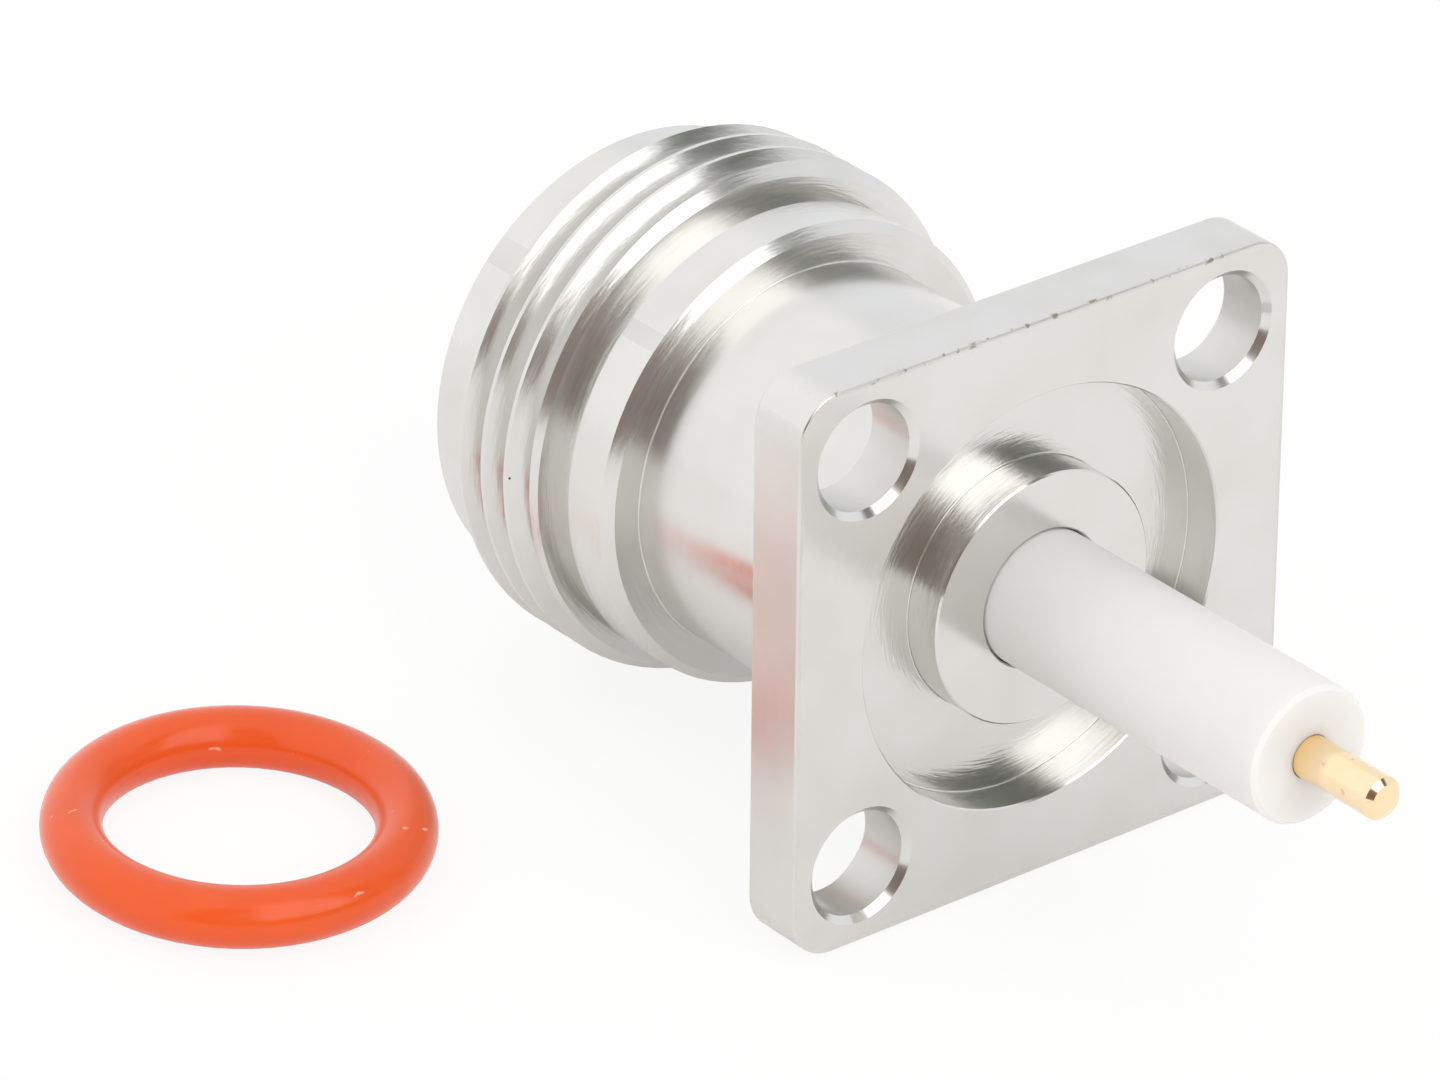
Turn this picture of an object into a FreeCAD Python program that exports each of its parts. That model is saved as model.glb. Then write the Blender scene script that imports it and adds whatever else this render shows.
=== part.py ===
# N type panel jack with a square flange: the shell, the dielectric, the centre contact and the sealing ring.
# The connector's axis is Y: the mating end points to +Y and the solder pin to -Y. Z is up.
# The origin is the centre of the flange's rear face, which is bolted to the panel. Lengths are millimetres.
import FreeCAD
import Part
import Sketcher
import os

from FreeCAD import Vector

document = FreeCAD.newDocument("PanelJack")

# Driving sizes
sizes = {
    "flange_thickness": "2.0",
    "flange_corner_round": "1.4",
    "flange_edge_round": "0.08",
    "hole_spacing": "12.7",
    "hole_edge_distance": "2.4",
    "hole_diameter": "3.2",
    "hole_chamfer": "0.2",
    "hole_count": "4",
    "groove_floor_round": "0.04",
    "edge_break": "0.05",
    "neck_diameter": "11.9",
    "neck_length": "8.6",
    "neck_round": "0.05",
    "collar_diameter": "14.22",
    "collar_length": "1.8",
    "collar_chamfer": "0.3",
    "relief_diameter": "13.8",
    "relief_length": "0.8",
    "thread_diameter": "15.875",
    "threads_per_inch": "24",
    "thread_flank_angle": "30",
    "thread_length": "3.7",
    "thread_end_chamfer": "0.4",
    "thread_lead_in": "1.09",
    "thread_run_out": "0.65",
    "pilot_diameter": "14.3",
    "pilot_length": "1.75",
    "pilot_chamfer": "0.2",
    "mating_bore_diameter": "8.1",
    "mating_bore_depth": "9.1",
    "mouth_chamfer": "0.35",
    "conductor_bore_diameter": "7.0",
    "rear_bore_length": "2.6",
    "stem_diameter": "4.1",
    "stem_clearance": "0.04",
    "stem_length": "11.25",
    "stem_edge_break": "0.12",
    "head_setback": "1.5",
    "fit_gap": "0.02",
    "pin_diameter": "1.27",
    "pin_length": "3.05",
    "pin_chamfer": "0.16",
    "core_diameter": "2.1",
    "core_setback": "1.0",
    "barb_height": "0.15",
    "barb_length": "0.5",
    "socket_diameter": "3.04",
    "socket_stand": "4.9",
    "socket_bore_diameter": "1.65",
    "socket_bore_depth": "5.2",
    "socket_drill_point": "0.5",
    "slot_width": "0.28",
    "slot_length": "4.0",
    "slot_cuts": "2",
    "ring_inside_diameter": "7.65",
    "ring_section": "1.78",
    "ring_stretch": "0.01",
    "ring_room": "0.79",
    "ring_squeeze": "0.53",
    "ring_offset_side": "17.83",
    "ring_offset_ahead": "13.58",
    "cutter_overrun": "0.5",
}

# Radii and places worked out from the driving sizes
derived = {
    "hole_place": "=hole_spacing / 2",
    "flange_half": "=hole_place + hole_edge_distance",
    "hole_radius": "=hole_diameter / 2",
    "boss_radius": "=(ring_inside_diameter + ring_stretch) / 2",
    "groove_radius": "=boss_radius + ring_section + ring_room",
    "groove_depth": "=ring_section - ring_squeeze",
    "neck_radius": "=neck_diameter / 2",
    "collar_radius": "=collar_diameter / 2",
    "relief_radius": "=relief_diameter / 2",
    "thread_radius": "=thread_diameter / 2",
    "pilot_radius": "=pilot_diameter / 2",
    "mating_bore_radius": "=mating_bore_diameter / 2",
    "conductor_bore_radius": "=conductor_bore_diameter / 2",
    "stem_radius": "=stem_diameter / 2",
    "rear_bore_radius": "=stem_radius + stem_clearance",
    "head_radius": "=conductor_bore_radius - fit_gap",
    "pin_radius": "=pin_diameter / 2",
    "core_radius": "=core_diameter / 2",
    "pin_bore_radius": "=pin_radius + fit_gap",
    "core_bore_radius": "=core_radius + fit_gap",
    "socket_radius": "=socket_diameter / 2",
    "socket_bore_radius": "=socket_bore_diameter / 2",
    "ring_radius": "=(ring_inside_diameter + ring_section) / 2",
    "collar_back": "=flange_thickness + neck_length",
    "relief_back": "=collar_back + collar_length",
    "thread_back": "=relief_back + relief_length",
    "pilot_back": "=thread_back + thread_length",
    "mouth": "=pilot_back + pilot_length",
    "reference_plane": "=mouth - mating_bore_depth",
    "head_front": "=reference_plane - head_setback",
    "core_back": "=rear_bore_length + core_setback",
    "barb_back": "=(core_back + head_front) / 2",
    "barb_front": "=barb_back + barb_length",
    "socket_tip": "=reference_plane + socket_stand",
    "socket_floor": "=socket_tip - socket_bore_depth",
    "pin_tip": "=-stem_length - pin_length",
    "thread_pitch": "=25.4 / threads_per_inch",
    "thread_depth": "=thread_pitch * 0.6134",
    "thread_root_radius": "=thread_radius - thread_depth",
    "thread_root_half": "=thread_pitch / 12",
    "thread_slope": "=tan(thread_flank_angle * 1deg)",
    "cutter_margin": "=thread_pitch / 10",
    "cutter_radius": "=thread_radius + cutter_margin",
    "cutter_half": "=thread_root_half + (thread_depth + cutter_margin) * thread_slope",
    "thread_start": "=thread_back - thread_lead_in",
    "thread_run": "=thread_lead_in + thread_length + thread_run_out",
    "rest_from": "=flange_thickness - flange_edge_round",
    "rest_to": "=pilot_back - thread_end_chamfer",
    "rest_slope": "=(flange_half - thread_radius) / (rest_to - rest_from)",
    "rest_angle": "=atan(rest_slope)",
    "ring_half": "=ring_section / 2",
    "ring_ahead": "=ring_offset_ahead - ring_half * sin(rest_angle)",
    "ring_height": "=rest_slope * (ring_offset_ahead - rest_from) - flange_half + ring_half * cos(rest_angle)",
}

sheet = document.addObject("Spreadsheet::Sheet", "Sizes")
cells = list(sizes.items()) + list(derived.items())
for row, (alias, content) in enumerate(cells, start=1):
    sheet.set(f"A{row}", alias)
    sheet.set(f"B{row}", "0")
    sheet.setAlias(f"B{row}", alias)
for row, (alias, content) in enumerate(cells, start=1):
    sheet.set(f"B{row}", content)
document.recompute()


# A place is written as words of the sheet, such as "mouth - pilot_chamfer". None is zero.
def amount(place):
    total = 0.0
    sign = 1.0
    for word in (place or "").split():
        if word in "+-":
            sign = 1.0 if word == "+" else -1.0
        else:
            total += sign * float(sheet.get(word))
            sign = 1.0
    return total


def binding(place):
    return " ".join(word if word in "+-" else f"Sizes.{word}" for word in place.split())


def spot(across, along):
    return Vector(amount(across), amount(along), 0)


def originFeature(body, role):
    return [feature for feature in body.Origin.OriginFeatures if feature.Role == role][0]


def newBody(name):
    body = document.addObject("PartDesign::Body", name)
    body.Label = name
    return body


def newSketch(body, name, role):
    sketch = body.newObject("Sketcher::SketchObject", name)
    sketch.AttachmentSupport = [(originFeature(body, role), "")]
    sketch.MapMode = "FlatFace"
    return sketch


# Ties one end of a sketch edge to its place along both sketch axes.
def pinEnd(sketch, edge, end, across, along):
    for kind, axis, place in (("DistanceX", -2, across), ("DistanceY", -1, along)):
        if place is None:
            sketch.addConstraint(Sketcher.Constraint("PointOnObject", edge, end, axis))
        else:
            index = sketch.addConstraint(Sketcher.Constraint(kind, -1, 1, edge, end, amount(place)))
            sketch.setExpression(f"Constraints[{index}]", binding(place))


# The two ends of the arc that rounds a corner, each one rounding away along an edge of the outline.
def roundedEnds(before, corner, after):
    across, along, rounding = corner
    ends = []
    for neighbour in (before, after):
        way = spot(*neighbour[:2]) - spot(across, along)
        if abs(way.x) > abs(way.y):
            ends.append((f"{across} {'+' if way.x > 0 else '-'} {rounding}", along))
        else:
            ends.append((across, f"{along} {'+' if way.y > 0 else '-'} {rounding}"))
    return ends


def drawArc(sketch, corner, first, last):
    vertex = spot(*corner[:2])
    radius = amount(corner[2])
    centre = spot(*first) + spot(*last) - vertex
    middle = centre + (vertex - centre).normalize() * radius
    edge = sketch.addGeometry(Part.Arc(spot(*first), middle, spot(*last)))
    turned = sketch.getPoint(edge, 1).distanceToPoint(spot(*first)) > radius / 2
    start, end = (2, 1) if turned else (1, 2)
    pinEnd(sketch, edge, start, *first)
    index = sketch.addConstraint(Sketcher.Constraint("Radius", edge, radius))
    sketch.setExpression(f"Constraints[{index}]", binding(corner[2]))
    return edge, start, end


def drawLine(sketch, first, last):
    edge = sketch.addGeometry(Part.LineSegment(spot(*first), spot(*last)))
    pinEnd(sketch, edge, 1, *first)
    return edge, 1, 2


# Draws a closed outline. A corner is (across, along), or (across, along, rounding) where two edges
# that run along the sketch axes meet in an arc.
def drawOutline(sketch, corners):
    count = len(corners)
    stops = []
    for i, corner in enumerate(corners):
        if len(corner) == 3:
            stops.append(roundedEnds(corners[i - 1], corner, corners[(i + 1) % count]))
        else:
            stops.append([corner])
    edges = []
    for i, ends in enumerate(stops):
        if len(ends) == 2:
            edges.append(drawArc(sketch, corners[i], *ends))
        edges.append(drawLine(sketch, ends[-1], stops[(i + 1) % count][0]))
    for (edge, start, end), following in zip(edges, edges[1:] + edges[:1]):
        joint = Sketcher.Constraint("Coincident", edge, end, following[0], following[1])
        sketch.addConstraint(joint)


# Turns an outline about the connector's axis, as material (Revolution) or as a cut (Groove).
def turned(body, name, kind, corners):
    sketch = newSketch(body, f"{name}Outline", "XY_Plane")
    drawOutline(sketch, corners)
    feature = body.newObject(f"PartDesign::{kind}", name)
    feature.Profile = sketch
    feature.ReferenceAxis = (sketch, ["V_Axis"])
    feature.Angle = 360
    return feature


# Repeats a cut about the connector's axis.
def repeated(body, name, cut, angle, occurrences):
    pattern = body.newObject("PartDesign::PolarPattern", name)
    pattern.Originals = [cut]
    pattern.Axis = (originFeature(body, "Y_Axis"), [""])
    pattern.Angle = angle
    pattern.setExpression("Occurrences", occurrences)
    body.Tip = pattern
    return pattern


# The shell: a square flange with the turned barrel in front of it.
shell = newBody("flanged_shell")

flangeOutline = newSketch(shell, "FlangeOutline", "XZ_Plane")
drawOutline(flangeOutline, [
    ("flange_half", "flange_half", "flange_corner_round"),
    ("- flange_half", "flange_half", "flange_corner_round"),
    ("- flange_half", "- flange_half", "flange_corner_round"),
    ("flange_half", "- flange_half", "flange_corner_round"),
])
flange = shell.newObject("PartDesign::Pad", "Flange")
flange.Profile = flangeOutline
flange.setExpression("Length", "Sizes.flange_thickness")
flange.Reversed = True
document.recompute()

rimEdges = [
    f"Edge{number}"
    for number, edge in enumerate(flange.Shape.Edges, start=1)
    if edge.BoundBox.YLength < amount("flange_thickness") / 2
]
flangeRim = shell.newObject("PartDesign::Fillet", "FlangeRim")
flangeRim.Base = (flange, rimEdges)
flangeRim.setExpression("Radius", "Sizes.flange_edge_round")

turned(shell, "Barrel", "Revolution", [
    (None, "flange_thickness - edge_break"),
    ("neck_radius + neck_round + neck_round", "flange_thickness - edge_break"),
    ("neck_radius + neck_round + neck_round", "flange_thickness"),
    ("neck_radius", "flange_thickness", "neck_round"),
    ("neck_radius", "collar_back", "neck_round"),
    ("collar_radius - collar_chamfer", "collar_back"),
    ("collar_radius", "collar_back + collar_chamfer"),
    ("collar_radius", "relief_back - edge_break"),
    ("collar_radius - edge_break", "relief_back"),
    ("relief_radius", "relief_back"),
    ("relief_radius", "thread_back"),
    ("thread_radius - thread_end_chamfer", "thread_back"),
    ("thread_radius", "thread_back + thread_end_chamfer"),
    ("thread_radius", "pilot_back - thread_end_chamfer"),
    ("thread_radius - thread_end_chamfer", "pilot_back"),
    ("pilot_radius", "pilot_back"),
    ("pilot_radius", "mouth - pilot_chamfer"),
    ("pilot_radius - pilot_chamfer", "mouth"),
    (None, "mouth"),
])

turned(shell, "RingGroove", "Groove", [
    ("boss_radius - edge_break", "- cutter_overrun"),
    ("boss_radius - edge_break", None),
    ("boss_radius", "edge_break"),
    ("boss_radius", "groove_depth", "groove_floor_round"),
    ("groove_radius", "groove_depth", "groove_floor_round"),
    ("groove_radius", "edge_break"),
    ("groove_radius + edge_break", None),
    ("groove_radius + edge_break", "- cutter_overrun"),
])

turned(shell, "Bores", "Groove", [
    (None, "- cutter_overrun"),
    ("rear_bore_radius + edge_break", "- cutter_overrun"),
    ("rear_bore_radius + edge_break", None),
    ("rear_bore_radius", "edge_break"),
    ("rear_bore_radius", "rear_bore_length"),
    ("conductor_bore_radius", "rear_bore_length"),
    ("conductor_bore_radius", "reference_plane"),
    ("mating_bore_radius", "reference_plane"),
    ("mating_bore_radius", "mouth - mouth_chamfer"),
    ("mating_bore_radius + mouth_chamfer", "mouth"),
    ("mating_bore_radius + mouth_chamfer", "mouth + cutter_overrun"),
    (None, "mouth + cutter_overrun"),
])

# One mounting hole with both rims chamfered, turned about its own axis at +X +Z, then the other three
holeOutline = newSketch(shell, "HoleOutline", "XY_Plane")
holeOutline.setExpression("AttachmentOffset.Base.z", "Sizes.hole_place")
drawOutline(holeOutline, [
    ("hole_place", "- cutter_overrun"),
    ("hole_place + hole_radius + hole_chamfer", "- cutter_overrun"),
    ("hole_place + hole_radius + hole_chamfer", None),
    ("hole_place + hole_radius", "hole_chamfer"),
    ("hole_place + hole_radius", "flange_thickness - hole_chamfer"),
    ("hole_place + hole_radius + hole_chamfer", "flange_thickness"),
    ("hole_place + hole_radius + hole_chamfer", "flange_thickness + cutter_overrun"),
    ("hole_place", "flange_thickness + cutter_overrun"),
])
axisEnds = (spot("hole_place", "- cutter_overrun"), spot("hole_place", "flange_thickness"))
holeAxis = holeOutline.addGeometry(Part.LineSegment(*axisEnds), True)
pinEnd(holeOutline, holeAxis, 1, "hole_place", "- cutter_overrun")
pinEnd(holeOutline, holeAxis, 2, "hole_place", "flange_thickness")
hole = shell.newObject("PartDesign::Groove", "Hole")
hole.Profile = holeOutline
hole.ReferenceAxis = (holeOutline, ["Axis0"])
hole.Angle = 360
document.recompute()
repeated(shell, "Holes", hole, 360, "Sizes.hole_count")

# The 60 degree unified thread: one groove of the cutter's section, run as a right-hand helix from the
# relief to the pilot, which both lie below the thread's root
threadSection = newSketch(shell, "ThreadSection", "XY_Plane")
drawOutline(threadSection, [
    ("thread_root_radius", "thread_start - thread_root_half"),
    ("cutter_radius", "thread_start - cutter_half"),
    ("cutter_radius", "thread_start + cutter_half"),
    ("thread_root_radius", "thread_start + thread_root_half"),
])
thread = shell.newObject("PartDesign::SubtractiveHelix", "Thread")
thread.Profile = threadSection
thread.ReferenceAxis = (threadSection, ["V_Axis"])
thread.Mode = "pitch-height-angle"
thread.setExpression("Pitch", "Sizes.thread_pitch")
thread.setExpression("Height", "Sizes.thread_run")
thread.LeftHanded = False

# The dielectric: a head held in the shell and a long stem behind the flange, bored for the contact
dielectric = newBody("dielectric")
turned(dielectric, "Bead", "Revolution", [
    ("pin_bore_radius", "- stem_length"),
    ("stem_radius - stem_edge_break", "- stem_length"),
    ("stem_radius", "stem_edge_break - stem_length"),
    ("stem_radius", "rear_bore_length"),
    ("head_radius - edge_break", "rear_bore_length"),
    ("head_radius", "rear_bore_length + edge_break"),
    ("head_radius", "head_front - edge_break"),
    ("head_radius - edge_break", "head_front"),
    ("core_bore_radius", "head_front"),
    ("core_bore_radius", "barb_front"),
    ("core_bore_radius + barb_height", "barb_front"),
    ("core_bore_radius", "barb_back"),
    ("core_bore_radius", "core_back"),
    ("pin_bore_radius", "core_back"),
])

# The centre contact: the solder pin, the barbed core that the dielectric holds, and the slotted socket
contact = newBody("centre_contact")
turned(contact, "Rod", "Revolution", [
    (None, "pin_tip"),
    ("pin_radius - pin_chamfer", "pin_tip"),
    ("pin_radius", "pin_tip + pin_chamfer"),
    ("pin_radius", "core_back"),
    ("core_radius", "core_back"),
    ("core_radius", "barb_back"),
    ("core_radius + barb_height", "barb_front"),
    ("core_radius", "barb_front"),
    ("core_radius", "head_front"),
    ("socket_radius", "head_front"),
    ("socket_radius", "socket_tip - edge_break"),
    ("socket_radius - edge_break", "socket_tip"),
    ("socket_bore_radius + edge_break", "socket_tip"),
    ("socket_bore_radius", "socket_tip - edge_break"),
    ("socket_bore_radius", "socket_floor"),
    (None, "socket_floor - socket_drill_point"),
])
slotOutline = newSketch(contact, "SlotOutline", "XY_Plane")
drawOutline(slotOutline, [
    ("- socket_radius - cutter_overrun", "socket_tip - slot_length"),
    ("socket_radius + cutter_overrun", "socket_tip - slot_length"),
    ("socket_radius + cutter_overrun", "socket_tip + cutter_overrun"),
    ("- socket_radius - cutter_overrun", "socket_tip + cutter_overrun"),
])
slot = contact.newObject("PartDesign::Pocket", "Slot")
slot.Profile = slotOutline
slot.SideType = "Symmetric"
slot.setExpression("Length", "Sizes.slot_width")
document.recompute()
repeated(contact, "Slots", slot, 90, "Sizes.slot_cuts")

# The sealing ring, taken out of its groove. It lies beside the connector on the plane that the connector rests
# on, which slopes up from the flange's lower edge to the thread.
ring = document.addObject("Part::Torus", "sealing_ring")
ring.Label = "sealing_ring"
ring.setExpression("Radius1", "Sizes.ring_radius")
ring.setExpression("Radius2", "Sizes.ring_half")
ring.Placement.Rotation = FreeCAD.Rotation(Vector(1, 0, 0), 1)
ring.setExpression("Placement.Rotation.Angle", "Sizes.rest_angle")
ring.setExpression("Placement.Base.x", "-Sizes.ring_offset_side")
ring.setExpression("Placement.Base.y", "Sizes.ring_ahead")
ring.setExpression("Placement.Base.z", "Sizes.ring_height")

document.recompute()

for item in document.Objects:
    if "Invalid" in item.State or "Error" in item.State:
        raise RuntimeError(f"{item.Name} did not recompute: {item.State}")
    if item.TypeId in ("PartDesign::Groove", "PartDesign::Pocket", "PartDesign::SubtractiveHelix"):
        if item.Shape.Volume >= item.BaseFeature.Shape.Volume:
            raise RuntimeError(f"{item.Name} cuts nothing")

os.makedirs("parts", exist_ok=True)
for piece in (shell, dielectric, contact, ring):
    shape = piece.Shape
    if shape.isNull() or not shape.isValid() or len(shape.Solids) != 1:
        raise RuntimeError(f"{piece.Label} is not one valid solid")
    shape.exportStep(f"parts/{piece.Label}.step")
    box = shape.BoundBox
    print(f"{piece.Label}: {shape.Volume:.3f} mm3, {len(shape.Faces)} faces")
    print(f"  x {box.XMin:.3f} to {box.XMax:.3f}, y {box.YMin:.3f} to {box.YMax:.3f}, z {box.ZMin:.3f} to {box.ZMax:.3f}")
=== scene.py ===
# A threaded coaxial panel jack and its sealing ring on a pale studio floor.
import math

import bmesh
import bpy
from mathutils import Matrix, Vector

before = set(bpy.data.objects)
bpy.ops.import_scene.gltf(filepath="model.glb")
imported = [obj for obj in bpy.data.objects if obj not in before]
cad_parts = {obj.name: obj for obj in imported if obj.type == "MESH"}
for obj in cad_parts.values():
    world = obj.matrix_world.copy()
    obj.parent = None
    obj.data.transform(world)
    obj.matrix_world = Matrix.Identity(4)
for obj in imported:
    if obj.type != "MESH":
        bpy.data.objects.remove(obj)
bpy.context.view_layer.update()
mm = 0.001
scene = bpy.context.scene
scene.view_settings.view_transform = "Standard"
print("frame loaded:", ", ".join(sorted(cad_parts)))


def linearColour(hexText):
    channels = [int(hexText[i:i + 2], 16) / 255 for i in (1, 3, 5)]
    return [c / 12.92 if c <= 0.04045 else ((c + 0.055) / 1.055) ** 2.4 for c in channels] + [1.0]


# Settings go to the node's sockets (by name or number) or else to its own properties
def addNode(tree, kind, settings=None, links=None):
    node = tree.nodes.new("ShaderNode" + kind)
    for key, value in (settings or {}).items():
        if isinstance(key, int) or key in node.inputs:
            node.inputs[key].default_value = value
        else:
            setattr(node, key, value)
    for key, output in (links or {}).items():
        tree.links.new(output, node.inputs[key])
    return node


def newMaterial(name):
    material = bpy.data.materials.new(name)
    material.use_nodes = True
    material.node_tree.nodes.clear()
    return material, material.node_tree


def giveMaterial(node, material):
    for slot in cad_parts[node].material_slots:
        slot.material = material


# Camera: a long lens behind the flange, to its left and above it. The roll is in degrees, everything else in
# millimetres.
view = {
    "place": (-157.38, -182.83, 131.49),
    "target": (-6.557, 6.155, 1.338),
    "roll": 0.5375,
    "lens": 247.36,
    "sensor": 36,
    "near": 10,
    "far": 20000,
}
cameraData = bpy.data.cameras.new("studioCamera")
cameraData.lens = view["lens"]
cameraData.sensor_width = view["sensor"]
cameraData.clip_start = view["near"] * mm
cameraData.clip_end = view["far"] * mm
camera = bpy.data.objects.new("studioCamera", cameraData)
place = Vector(view["place"]) * mm
aim = Vector(view["target"]) * mm - place
turn = aim.to_track_quat("-Z", "Y").to_matrix() @ Matrix.Rotation(math.radians(view["roll"]), 3, "Z")
camera.matrix_world = Matrix.Translation(place) @ turn.to_4x4()
scene.collection.objects.link(camera)
scene.camera = camera
print("camera placed")

# Studio: a bright white sweep round the part, dimmer on its right. On the camera's side there is a dim room
# with one tall softbox in it, which ends at the sweep on the right. A direction is told by its X and Z over
# the size of its Y, so the softbox's centre and half sizes are such slopes, and its edge is half of its soft
# border.
studio = {
    "brightness": 1.12,
    "sweep": "#FFFFFF",
    "sweepRight": "#F0F2F5",
    "sweepTurn": (0.50, 0.66),
    "softbox": "#FFFFFF",
    "softboxGain": 1.95,
    "softboxCentre": (0.105, 1.75),
    "softboxHalf": (0.525, 1.5),
    "softboxEdge": 0.03,
    "roomLeft": "#75655A",
    "roomRight": "#5A5D55",
    "roomAcross": (-0.3, 0.6),
    "roomFrom": (-0.26, -0.48),
    "roomTo": (1.15, 1.5),
}
world = bpy.data.worlds.new("studio")
scene.world = world
world.use_nodes = True
sky = world.node_tree
sky.nodes.clear()
direction = addNode(sky, "TexCoord")
parts = addNode(sky, "SeparateXYZ", links={0: direction.outputs["Generated"]})
ahead = addNode(sky, "Math", {"operation": "ABSOLUTE"}, {0: parts.outputs["Y"]})
slopes = {
    axis: addNode(sky, "Math", {"operation": "DIVIDE"}, {0: parts.outputs[axis], 1: ahead.outputs[0]})
    for axis in "XZ"}
masks = []
for axis, middle, half in zip("XZ", studio["softboxCentre"], studio["softboxHalf"]):
    shifted = addNode(sky, "Math", {"operation": "SUBTRACT", 1: middle}, {0: slopes[axis].outputs[0]})
    away = addNode(sky, "Math", {"operation": "ABSOLUTE"}, {0: shifted.outputs[0]})
    masks.append(addNode(sky, "MapRange", {
        "interpolation_type": "SMOOTHSTEP", "From Min": half + studio["softboxEdge"],
        "From Max": half - studio["softboxEdge"]}, {"Value": away.outputs[0]}))
panel = addNode(sky, "Math", {"operation": "MULTIPLY"}, {0: masks[0].outputs[0], 1: masks[1].outputs[0]})
rightSide = addNode(sky, "MapRange", {
    "interpolation_type": "SMOOTHSTEP",
    "From Min": studio["sweepTurn"][0], "From Max": studio["sweepTurn"][1]},
    {"Value": slopes["X"].outputs[0]})
sweep = addNode(sky, "Mix", {
    "data_type": "RGBA", 6: linearColour(studio["sweep"]), 7: linearColour(studio["sweepRight"])},
    {0: rightSide.outputs[0]})
roomAcross = addNode(sky, "MapRange", {
    "From Min": studio["roomAcross"][0], "From Max": studio["roomAcross"][1]},
    {"Value": slopes["X"].outputs[0]})
room = addNode(sky, "Mix", {
    "data_type": "RGBA", 6: linearColour(studio["roomLeft"]), 7: linearColour(studio["roomRight"])},
    {0: roomAcross.outputs[0]})
softboxLight = [studio["softboxGain"] * c for c in linearColour(studio["softbox"])[:3]] + [1.0]
roomSide = addNode(sky, "Mix", {"data_type": "RGBA", 7: softboxLight},
    {0: panel.outputs[0], 6: room.outputs[2]})
roomAhead = addNode(sky, "MapRange", {
    "interpolation_type": "SMOOTHSTEP",
    "From Min": studio["roomFrom"][0], "From Max": studio["roomFrom"][1]}, {"Value": parts.outputs["Y"]})
roomLeftOf = addNode(sky, "MapRange", {
    "interpolation_type": "SMOOTHSTEP",
    "From Min": studio["roomTo"][1], "From Max": studio["roomTo"][0]}, {"Value": slopes["X"].outputs[0]})
cameraSide = addNode(sky, "Math", {"operation": "MULTIPLY"},
    {0: roomAhead.outputs[0], 1: roomLeftOf.outputs[0]})
around = addNode(sky, "Mix", {"data_type": "RGBA"},
    {0: cameraSide.outputs[0], 6: sweep.outputs[2], 7: roomSide.outputs[2]})
lighting = addNode(sky, "Background", {"Strength": studio["brightness"]}, {"Color": around.outputs[2]})
backdrop = addNode(sky, "Background", {"Color": (1, 1, 1, 1), "Strength": 1.0})
rays = addNode(sky, "LightPath")
seen = addNode(sky, "MixShader", links={
    0: rays.outputs["Is Camera Ray"], 1: lighting.outputs[0], 2: backdrop.outputs[0]})
addNode(sky, "OutputWorld", links={"Surface": seen.outputs[0]})

# Fill lamp: a large soft panel on the camera's side that lights the matt pieces and isn't mirrored in the
# metal. Its place and size are in millimetres, its power in watts.
fill = {"place": (-560, -860, 460), "size": 700, "power": 3.4}
fillData = bpy.data.lights.new("fillPanel", "AREA")
fillData.size = fill["size"] * mm
fillData.energy = fill["power"]
fillLamp = bpy.data.objects.new("fillPanel", fillData)
fillPlace = Vector(fill["place"]) * mm
fillTurn = (-fillPlace).to_track_quat("-Z", "Y").to_matrix()
fillLamp.matrix_world = Matrix.Translation(fillPlace) @ fillTurn.to_4x4()
fillLamp.visible_glossy = False
scene.collection.objects.link(fillLamp)
print("studio lit")

# Floor: matt white card. The connector rests nose down on it, on the flange's lower edge and the thread, so
# the card slopes up a little towards the thread. A share of its white is its own, so that it stays white to
# the camera and, less so, in the metal, and the rest takes the pieces' shadows. The slope is in degrees, the
# other measures are in millimetres.
floorCard = {
    "height": -8.76,
    "from": 1.92,
    "slope": 3.19,
    "half": 3000,
    "colour": "#F4F3F1",
    "whiteSeen": 0.88,
    "whiteMirrored": 0.36,
}
floorForm = bmesh.new()
slant = Matrix.Translation(Vector((0, floorCard["from"], floorCard["height"])) * mm) @ Matrix.Rotation(
    math.radians(floorCard["slope"]), 4, "X")
bmesh.ops.create_grid(floorForm, x_segments=1, y_segments=1, size=floorCard["half"] * mm, matrix=slant)
floorMesh = bpy.data.meshes.new("floor")
floorForm.to_mesh(floorMesh)
floorForm.free()
floor = bpy.data.objects.new("floor", floorMesh)
scene.collection.objects.link(floor)
cardMaterial, card = newMaterial("matt white card")
matt = addNode(card, "BsdfDiffuse", {"Color": linearColour(floorCard["colour"])})
glow = addNode(card, "Emission", {"Color": (1, 1, 1, 1), "Strength": 1.0})
cardRays = addNode(card, "LightPath")
whiteSeen = addNode(card, "Math", {"operation": "MULTIPLY", 1: floorCard["whiteSeen"]},
    {0: cardRays.outputs["Is Camera Ray"]})
whiteMirrored = addNode(card, "Math", {"operation": "MULTIPLY", 1: floorCard["whiteMirrored"]},
    {0: cardRays.outputs["Is Glossy Ray"]})
whiteShare = addNode(card, "Math", {"operation": "MAXIMUM"},
    {0: whiteSeen.outputs[0], 1: whiteMirrored.outputs[0]})
whitened = addNode(card, "MixShader", links={
    0: whiteShare.outputs[0], 1: matt.outputs[0], 2: glow.outputs[0]})
addNode(card, "OutputMaterial", links={"Surface": whitened.outputs[0]})
floor.data.materials.append(cardMaterial)
print("floor laid")

# Marks that a turning tool leaves: fine along the connector's axis and slow around it. On a face that looks
# along the axis they are circles about it. The pitch is in millimetres.
toolMarks = {"endFaceFrom": 0.95, "detail": 3.0, "roughness": 0.6, "span": (0.3, 0.7)}


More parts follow.
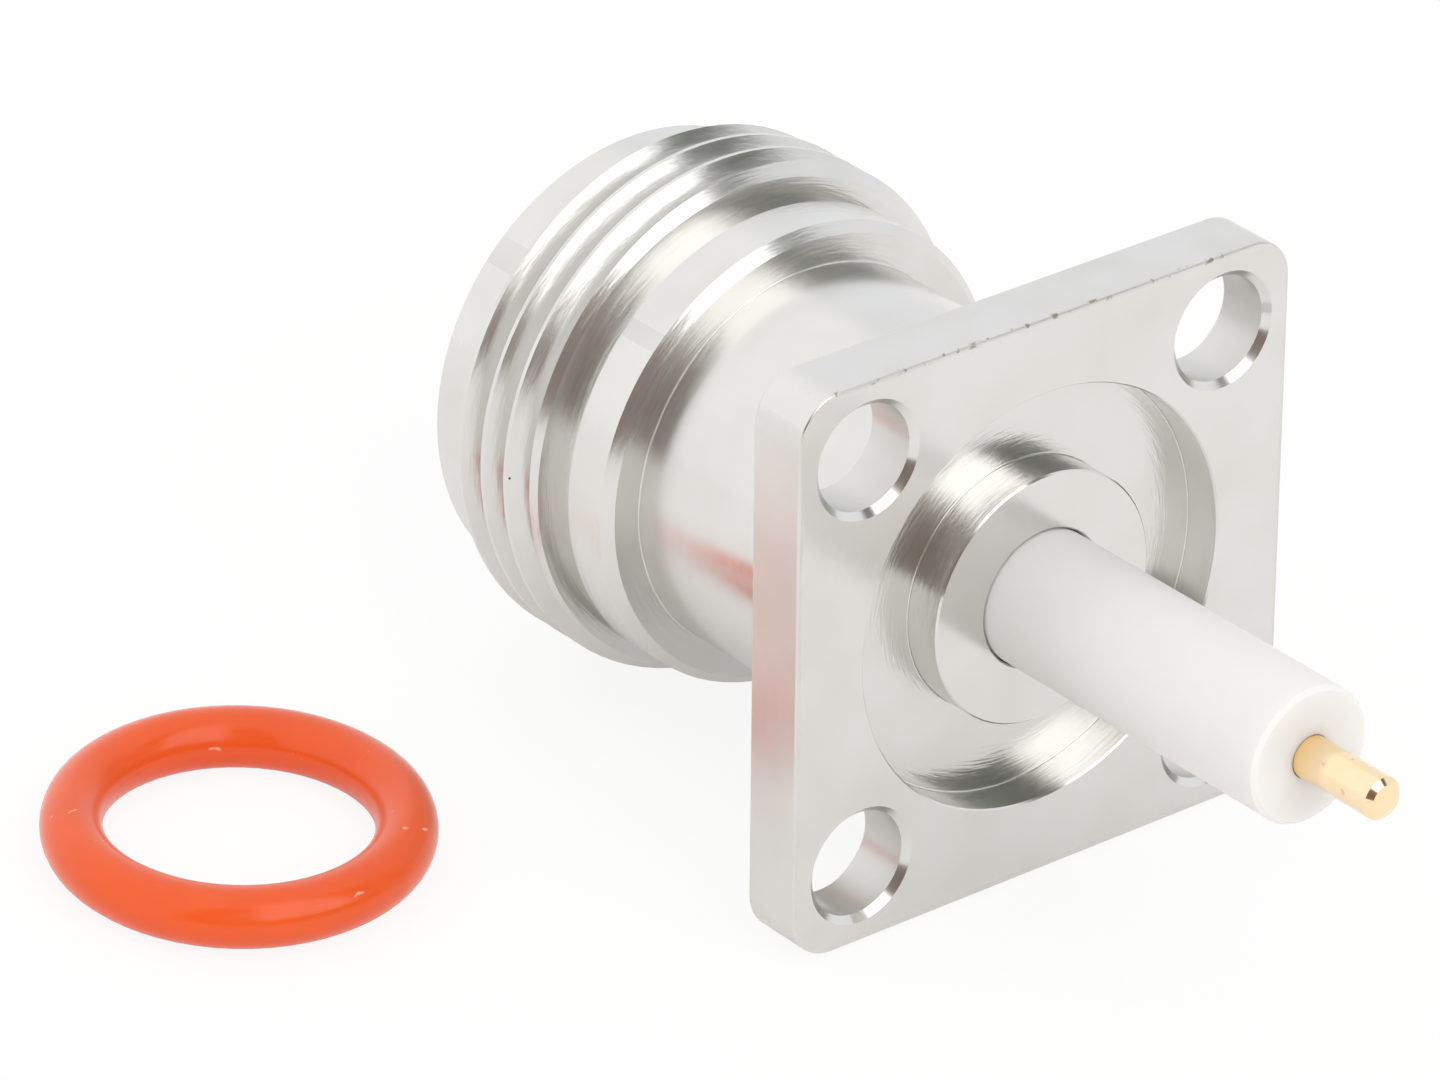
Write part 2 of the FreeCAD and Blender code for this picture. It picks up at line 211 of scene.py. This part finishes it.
def turningMarks(tree, pitch, aroundScale):
    coords = addNode(tree, "TexCoord")
    spot = addNode(tree, "SeparateXYZ", links={0: coords.outputs["Object"]})
    facing = addNode(tree, "SeparateXYZ", links={0: coords.outputs["Normal"]})
    flat = addNode(tree, "VectorMath", {"operation": "MULTIPLY", 1: (1, 0, 1)}, {0: coords.outputs["Object"]})
    radius = addNode(tree, "VectorMath", {"operation": "LENGTH"}, {0: flat.outputs[0]})
    heading = addNode(tree, "VectorMath", {"operation": "NORMALIZE"}, {0: flat.outputs[0]})
    headingParts = addNode(tree, "SeparateXYZ", links={0: heading.outputs[0]})
    faceTurn = addNode(tree, "Math", {"operation": "ABSOLUTE"}, {0: facing.outputs["Y"]})
    endFace = addNode(tree, "Math", {"operation": "GREATER_THAN", 1: toolMarks["endFaceFrom"]},
        {0: faceTurn.outputs[0]})
    faceRadius = addNode(tree, "Math", {"operation": "MULTIPLY"},
        {0: radius.outputs["Value"], 1: endFace.outputs[0]})
    across = addNode(tree, "Math", {"operation": "MULTIPLY", 1: 1 / (pitch * mm)}, {0: faceRadius.outputs[0]})
    along = addNode(tree, "Math", {"operation": "MULTIPLY", 1: 1 / (pitch * mm)}, {0: spot.outputs["Y"]})
    aroundX = addNode(tree, "Math", {"operation": "MULTIPLY", 1: aroundScale}, {0: headingParts.outputs["X"]})
    aroundZ = addNode(tree, "Math", {"operation": "MULTIPLY", 1: aroundScale}, {0: headingParts.outputs["Z"]})
    space = addNode(tree, "CombineXYZ", links={
        "X": across.outputs[0], "Y": along.outputs[0], "Z": aroundX.outputs[0]})
    return addNode(tree, "TexNoise", {
        "noise_dimensions": "4D", "Scale": 1.0,
        "Detail": toolMarks["detail"], "Roughness": toolMarks["roughness"]},
        {"Vector": space.outputs[0], "W": aroundZ.outputs[0]})


# Shell: brass turned and milled, then bright nickel plated, which gives the eye a warm white mirror that is a
# little soft. Real tool rings are too fine to show, so these are coarser and deeper. Sizes are in mm.
shellFinish = {
    "colour": "#DFDEDB",
    "shade": "#D9D8D4",
    "cloudSize": 3.0,
    "cloudSpan": (0.4, 0.7),
    "metal": 0.95,
    "roughness": (0.15, 0.21),
    "stretch": 0.5,
    "sideFrom": 8.55,
    "sideBlend": 0.1,
    "sideRoughness": 0.2,
    "barrelFrom": (1.9, 2.1),
    "barrelRoughness": 0.05,
    "holePlace": 6.35,
    "holeReach": 1.9,
    "holeWallTurn": 0.3,
    "holeRoughness": 0.22,
    "ringPitch": 0.12,
    "ringHeight": 0.012,
    "aroundScale": 5.0,
    "smoothMarks": 0.05,
    "grooveReach": 6.6,
    "grooveDepth": (0.15, 1.9),
    "turnedFrom": (10.2, 10.4),
    "pit": "#4A443C",
    "pitCell": 2.6,
    "pitRadius": 0.055,
    "pitCore": 0.6,
    "edge": "#A59E90",
    "edgeFrom": (8.60, 8.66),
    "edgeDepth": (0.12, 0.05),
    "edgeSpotSize": 0.35,
    "edgeSpots": 0.42,
    "edgeSpotRim": 0.06,
}
plated, nickel = newMaterial("nickel plated turned brass")
rings = turningMarks(nickel, shellFinish["ringPitch"], shellFinish["aroundScale"])
shellPlace = addNode(nickel, "TexCoord")
shellSpot = addNode(nickel, "SeparateXYZ", links={0: shellPlace.outputs["Object"]})
shellFolded = addNode(nickel, "VectorMath", {"operation": "ABSOLUTE"}, {0: shellPlace.outputs["Object"]})
foldedSpot = addNode(nickel, "SeparateXYZ", links={0: shellFolded.outputs[0]})

# Where the rings are cut: in the ring groove of the rear face, and from the collar to the mouth. There they
# break the edges of the dark reflections into streaks. The flange's face and the neck are nearly smooth.
shellFlat = addNode(nickel, "VectorMath", {"operation": "MULTIPLY", 1: (1, 0, 1)},
    {0: shellPlace.outputs["Object"]})
shellSpan = addNode(nickel, "VectorMath", {"operation": "LENGTH"}, {0: shellFlat.outputs[0]})
belowFace = addNode(nickel, "Math", {"operation": "GREATER_THAN", 1: shellFinish["grooveDepth"][0] * mm},
    {0: shellSpot.outputs["Y"]})
aboveNeck = addNode(nickel, "Math", {"operation": "LESS_THAN", 1: shellFinish["grooveDepth"][1] * mm},
    {0: shellSpot.outputs["Y"]})
nearAxis = addNode(nickel, "Math", {"operation": "LESS_THAN", 1: shellFinish["grooveReach"] * mm},
    {0: shellSpan.outputs["Value"]})
grooveDeep = addNode(nickel, "Math", {"operation": "MULTIPLY"},
    {0: belowFace.outputs[0], 1: aboveNeck.outputs[0]})
inGroove = addNode(nickel, "Math", {"operation": "MULTIPLY"},
    {0: grooveDeep.outputs[0], 1: nearAxis.outputs[0]})
fromCollar = addNode(nickel, "MapRange", {
    "From Min": shellFinish["turnedFrom"][0] * mm, "From Max": shellFinish["turnedFrom"][1] * mm},
    {"Value": shellSpot.outputs["Y"]})
coarse = addNode(nickel, "Math", {"operation": "MAXIMUM"}, {0: inGroove.outputs[0], 1: fromCollar.outputs[0]})
markDepth = addNode(nickel, "MapRange", {"To Min": shellFinish["smoothMarks"], "To Max": 1.0},
    {"Value": coarse.outputs[0]})
ringDepth = addNode(nickel, "Math", {"operation": "MULTIPLY"}, {0: rings.outputs[0], 1: markDepth.outputs[0]})
marks = addNode(nickel, "Bump", {"Strength": 1.0, "Distance": shellFinish["ringHeight"] * mm},
    {"Height": ringDepth.outputs[0]})

# How dull it is: worn a little unevenly, duller on the barrel than on the flange's face, and duller still on
# the milled sides and in the drilled holes
worn = addNode(nickel, "MapRange", {
    "From Min": toolMarks["span"][0], "From Max": toolMarks["span"][1],
    "To Min": shellFinish["roughness"][0], "To Max": shellFinish["roughness"][1]},
    {"Value": rings.outputs[0]})
barrelDull = addNode(nickel, "MapRange", {
    "From Min": shellFinish["barrelFrom"][0] * mm, "From Max": shellFinish["barrelFrom"][1] * mm,
    "To Max": shellFinish["barrelRoughness"]}, {"Value": shellSpot.outputs["Y"]})
wornOrDull = addNode(nickel, "Math", {"operation": "ADD"}, {0: worn.outputs[0], 1: barrelDull.outputs[0]})
outward = addNode(nickel, "Math", {"operation": "MAXIMUM"},
    {0: foldedSpot.outputs["X"], 1: foldedSpot.outputs["Z"]})
milled = addNode(nickel, "MapRange", {
    "From Min": shellFinish["sideFrom"] * mm,
    "From Max": (shellFinish["sideFrom"] + shellFinish["sideBlend"]) * mm,
    "To Max": shellFinish["sideRoughness"]}, {"Value": outward.outputs[0]})
fromHole = addNode(nickel, "VectorMath", {
    "operation": "SUBTRACT", 1: (shellFinish["holePlace"] * mm, 0, shellFinish["holePlace"] * mm)},
    {0: shellFolded.outputs[0]})
fromHoleFlat = addNode(nickel, "VectorMath", {"operation": "MULTIPLY", 1: (1, 0, 1)},
    {0: fromHole.outputs[0]})
holeSpan = addNode(nickel, "VectorMath", {"operation": "LENGTH"}, {0: fromHoleFlat.outputs[0]})
inHole = addNode(nickel, "Math", {"operation": "LESS_THAN", 1: shellFinish["holeReach"] * mm},
    {0: holeSpan.outputs["Value"]})
shellFacing = addNode(nickel, "VectorMath", {"operation": "DOT_PRODUCT", 1: (0, 1, 0)},
    {0: shellPlace.outputs["Normal"]})
onFace = addNode(nickel, "Math", {"operation": "ABSOLUTE"}, {0: shellFacing.outputs["Value"]})
offFace = addNode(nickel, "Math", {"operation": "LESS_THAN", 1: shellFinish["holeWallTurn"]},
    {0: onFace.outputs[0]})
holeWall = addNode(nickel, "Math", {"operation": "MULTIPLY"}, {0: inHole.outputs[0], 1: offFace.outputs[0]})
drilled = addNode(nickel, "Math", {"operation": "MULTIPLY_ADD", 1: shellFinish["holeRoughness"]},
    {0: holeWall.outputs[0], 2: milled.outputs[0]})
roughness = addNode(nickel, "Math", {"operation": "ADD"}, {0: wornOrDull.outputs[0], 1: drilled.outputs[0]})

# Its colour: two close tones of plating, a few dark pits, and bare spots on the flange's upper rear edge
clouds = addNode(nickel, "TexNoise", {"Scale": 1 / (shellFinish["cloudSize"] * mm), "Detail": 2.0},
    {"Vector": shellPlace.outputs["Object"]})
cloudy = addNode(nickel, "MapRange", {
    "From Min": shellFinish["cloudSpan"][0], "From Max": shellFinish["cloudSpan"][1]},
    {"Value": clouds.outputs[0]})
plating = addNode(nickel, "Mix", {
    "data_type": "RGBA", 6: linearColour(shellFinish["colour"]), 7: linearColour(shellFinish["shade"])},
    {0: cloudy.outputs[0]})
pits = addNode(nickel, "TexVoronoi", {"Scale": 1 / (shellFinish["pitCell"] * mm)},
    {"Vector": shellPlace.outputs["Object"]})
pitEdge = shellFinish["pitRadius"] / shellFinish["pitCell"]
pitted = addNode(nickel, "MapRange", {"From Min": pitEdge, "From Max": pitEdge * shellFinish["pitCore"]},
    {"Value": pits.outputs["Distance"]})
withPits = addNode(nickel, "Mix", {"data_type": "RGBA", 7: linearColour(shellFinish["pit"])},
    {0: pitted.outputs[0], 6: plating.outputs[2]})
atRim = addNode(nickel, "MapRange", {
    "From Min": shellFinish["edgeFrom"][0] * mm, "From Max": shellFinish["edgeFrom"][1] * mm},
    {"Value": shellSpot.outputs["Z"]})
atBack = addNode(nickel, "MapRange", {
    "From Min": shellFinish["edgeDepth"][0] * mm, "From Max": shellFinish["edgeDepth"][1] * mm},
    {"Value": foldedSpot.outputs["Y"]})
rimBack = addNode(nickel, "Math", {"operation": "MULTIPLY"}, {0: atRim.outputs[0], 1: atBack.outputs[0]})
spots = addNode(nickel, "TexNoise", {"Scale": 1 / (shellFinish["edgeSpotSize"] * mm), "Detail": 2.0},
    {"Vector": shellPlace.outputs["Object"]})
spotFrom = 1 - shellFinish["edgeSpots"]
spotty = addNode(nickel, "MapRange", {
    "From Min": spotFrom, "From Max": spotFrom + shellFinish["edgeSpotRim"]}, {"Value": spots.outputs[0]})
edgeWear = addNode(nickel, "Math", {"operation": "MULTIPLY"}, {0: rimBack.outputs[0], 1: spotty.outputs[0]})
metalColour = addNode(nickel, "Mix", {"data_type": "RGBA", 7: linearColour(shellFinish["edge"])},
    {0: edgeWear.outputs[0], 6: withPits.outputs[2]})

# The stretch draws highlights out across the rings, which is along the axis on the barrel
roundAxis = addNode(nickel, "Tangent", {"direction_type": "RADIAL", "axis": "Y"})
platedShader = addNode(nickel, "BsdfPrincipled", {
    "Metallic": shellFinish["metal"], "Anisotropic": shellFinish["stretch"], "Anisotropic Rotation": 0.25},
    {"Base Color": metalColour.outputs[2], "Roughness": roughness.outputs[0], "Normal": marks.outputs[0],
     "Tangent": roundAxis.outputs[0]})
addNode(nickel, "OutputMaterial", links={"Surface": platedShader.outputs[0]})
giveMaterial("flanged_shell", plated)
print("shell plated")

# Dielectric: turned PTFE, a soft waxy white that lets a little light in. Its tool rings are very faint, and
# coarser than real ones, which are too fine to show.
beadFinish = {
    "colour": "#E6E5E4",
    "shade": "#E1DFDD",
    "cloudSize": 2.4,
    "roughness": 0.42,
    "ior": 1.36,
    "waxy": 0.5,
    "depth": 0.8,
    "reach": (1.0, 0.95, 0.9),
    "ringPitch": 0.16,
    "ringHeight": 0.0015,
    "aroundScale": 1.2,
}
waxy, ptfe = newMaterial("turned PTFE")
beadRings = turningMarks(ptfe, beadFinish["ringPitch"], beadFinish["aroundScale"])
beadMarks = addNode(ptfe, "Bump", {"Strength": 1.0, "Distance": beadFinish["ringHeight"] * mm},
    {"Height": beadRings.outputs[0]})
beadPlace = addNode(ptfe, "TexCoord")
beadClouds = addNode(ptfe, "TexNoise", {"Scale": 1 / (beadFinish["cloudSize"] * mm), "Detail": 3.0},
    {"Vector": beadPlace.outputs["Object"]})
milky = addNode(ptfe, "Mix", {
    "data_type": "RGBA", 6: linearColour(beadFinish["colour"]), 7: linearColour(beadFinish["shade"])},
    {0: beadClouds.outputs[0]})
beadShader = addNode(ptfe, "BsdfPrincipled", {
    "Roughness": beadFinish["roughness"], "IOR": beadFinish["ior"], "Subsurface Weight": beadFinish["waxy"],
    "Subsurface Scale": beadFinish["depth"] * mm, "Subsurface Radius": beadFinish["reach"]},
    {"Base Color": milky.outputs[2], "Normal": beadMarks.outputs[0]})
addNode(ptfe, "OutputMaterial", links={"Surface": beadShader.outputs[0]})
giveMaterial("dielectric", waxy)
print("dielectric finished")

# Centre contact: gold plated brass, bright, with faint tool rings, also coarser than real ones. Near the
# dielectric its gold is painted deeper and more orange: a painted reflection of warm bounced light. It is
# brown in small spots where the plating is thin.
pinFinish = {
    "colour": "#FDE9C8",
    "shade": "#F9DEB0",
    "cloudSize": 0.9,
    # The next two entries are a painted reflection: a warmer gold near the dielectric standing in for bounced
    # light
    "root": "#FFDCA4",
    "paintedWarmthFrom": (-12.1, -11.4),
    "roughness": (0.12, 0.18),
    "ringPitch": 0.08,
    "ringHeight": 0.0006,
    "aroundScale": 1.5,
    "spot": "#B9843C",
    "spotSize": 0.5,
    "spotSpan": (0.66, 0.74),
    "spotShare": 0.5,
}
golden, gold = newMaterial("gold plated contact")
pinRings = turningMarks(gold, pinFinish["ringPitch"], pinFinish["aroundScale"])
pinMarks = addNode(gold, "Bump", {"Strength": 1.0, "Distance": pinFinish["ringHeight"] * mm},
    {"Height": pinRings.outputs[0]})
pinRoughness = addNode(gold, "MapRange", {
    "From Min": toolMarks["span"][0], "From Max": toolMarks["span"][1],
    "To Min": pinFinish["roughness"][0], "To Max": pinFinish["roughness"][1]}, {"Value": pinRings.outputs[0]})
pinPlace = addNode(gold, "TexCoord")
pinClouds = addNode(gold, "TexNoise", {"Scale": 1 / (pinFinish["cloudSize"] * mm), "Detail": 2.0},
    {"Vector": pinPlace.outputs["Object"]})
goldTone = addNode(gold, "Mix", {
    "data_type": "RGBA", 6: linearColour(pinFinish["colour"]), 7: linearColour(pinFinish["shade"])},
    {0: pinClouds.outputs[0]})
pinSpot = addNode(gold, "SeparateXYZ", links={0: pinPlace.outputs["Object"]})
# Painted reflection: the gold is painted deeper towards the dielectric to stand in for warm bounced light
paintedWarmthMask = addNode(gold, "MapRange", {
    "interpolation_type": "SMOOTHSTEP",
    "From Min": pinFinish["paintedWarmthFrom"][0] * mm, "From Max": pinFinish["paintedWarmthFrom"][1] * mm},
    {"Value": pinSpot.outputs["Y"]})
goldWithPaintedWarmth = addNode(gold, "Mix", {"data_type": "RGBA", 7: linearColour(pinFinish["root"])},
    {0: paintedWarmthMask.outputs[0], 6: goldTone.outputs[2]})
pinSpots = addNode(gold, "TexNoise", {
    "Scale": 1 / (pinFinish["spotSize"] * mm), "Detail": 3.0, "Roughness": 0.6},
    {"Vector": pinPlace.outputs["Object"]})
thinPlating = addNode(gold, "MapRange", {
    "From Min": pinFinish["spotSpan"][0], "From Max": pinFinish["spotSpan"][1],
    "To Max": pinFinish["spotShare"]}, {"Value": pinSpots.outputs[0]})
spottedGold = addNode(gold, "Mix", {"data_type": "RGBA", 7: linearColour(pinFinish["spot"])},
    {0: thinPlating.outputs[0], 6: goldWithPaintedWarmth.outputs[2]})
pinShader = addNode(gold, "BsdfPrincipled", {"Metallic": 1.0},
    {"Base Color": spottedGold.outputs[2], "Roughness": pinRoughness.outputs[0],
     "Normal": pinMarks.outputs[0]})
addNode(gold, "OutputMaterial", links={"Surface": pinShader.outputs[0]})
giveMaterial("centre_contact", golden)
print("contact plated")

# Sealing ring: moulded silicone rubber, satin, with two soft highlights and a pale bloom towards its rims.
# The orange is a little uneven, and a few short fibres of lint lie on it. They are stretched along X, and
# curled by a noise that shifts their place.
ringFinish = {
    "colour": "#E4571C",
    "shade": "#DC4F17",
    "cloudSize": 1.8,
    "cloudSpan": (0.35, 0.65),
    "roughness": (0.20, 0.262),
    "ior": 1.45,
    "bloom": 0.28,
    "bloomRoughness": 0.4,
    "grain": 0.12,
    "grainHeight": 0.0012,
    "lint": "#F6B9A0",
    "lintCell": 1.15,
    "lintRadius": 0.11,
    "lintCore": 0.5,
    "lintShare": 0.7,
    "curlSize": 0.7,
    "curlReach": 0.9,
    "fibreScale": (0.45, 1.5, 1.0),
}
rubbery, silicone = newMaterial("moulded silicone rubber")
ringPlace = addNode(silicone, "TexCoord")
ringClouds = addNode(silicone, "TexNoise", {"Scale": 1 / (ringFinish["cloudSize"] * mm), "Detail": 3.0},
    {"Vector": ringPlace.outputs["Object"]})
ringTone = addNode(silicone, "Mix", {
    "data_type": "RGBA", 6: linearColour(ringFinish["colour"]), 7: linearColour(ringFinish["shade"])},
    {0: ringClouds.outputs[0]})
curl = addNode(silicone, "TexNoise", {"Scale": 1 / (ringFinish["curlSize"] * mm), "Detail": 1.0},
    {"Vector": ringPlace.outputs["Object"]})
curlShift = addNode(silicone, "VectorMath", {
    "operation": "MULTIPLY_ADD", 1: (ringFinish["curlReach"] * mm,) * 3},
    {0: curl.outputs["Color"], 2: ringPlace.outputs["Object"]})
fibre = addNode(silicone, "VectorMath", {"operation": "MULTIPLY", 1: ringFinish["fibreScale"]},
    {0: curlShift.outputs[0]})
lint = addNode(silicone, "TexVoronoi", {"Scale": 1 / (ringFinish["lintCell"] * mm)},
    {"Vector": fibre.outputs[0]})
lintEdge = ringFinish["lintRadius"] / ringFinish["lintCell"]
linty = addNode(silicone, "MapRange", {
    "From Min": lintEdge, "From Max": lintEdge * ringFinish["lintCore"], "To Max": ringFinish["lintShare"]},
    {"Value": lint.outputs["Distance"]})
rubberColour = addNode(silicone, "Mix", {"data_type": "RGBA", 7: linearColour(ringFinish["lint"])},
    {0: linty.outputs[0], 6: ringTone.outputs[2]})
# The mould's grain is finer on a real ring. Here it is as coarse as it needs to show.
grain = addNode(silicone, "TexNoise", {"Scale": 1 / (ringFinish["grain"] * mm), "Detail": 2.0},
    {"Vector": ringPlace.outputs["Object"]})
grainMarks = addNode(silicone, "Bump", {"Strength": 1.0, "Distance": ringFinish["grainHeight"] * mm},
    {"Height": grain.outputs[0]})
rubberRoughness = addNode(silicone, "MapRange", {
    "From Min": ringFinish["cloudSpan"][0], "From Max": ringFinish["cloudSpan"][1],
    "To Min": ringFinish["roughness"][0], "To Max": ringFinish["roughness"][1]},
    {"Value": ringClouds.outputs[0]})
ringShader = addNode(silicone, "BsdfPrincipled", {
    "IOR": ringFinish["ior"],
    "Sheen Weight": ringFinish["bloom"], "Sheen Roughness": ringFinish["bloomRoughness"]},
    {"Base Color": rubberColour.outputs[2], "Roughness": rubberRoughness.outputs[0],
     "Normal": grainMarks.outputs[0]})
addNode(silicone, "OutputMaterial", links={"Surface": ringShader.outputs[0]})
giveMaterial("sealing_ring", rubbery)
print("ring finished")
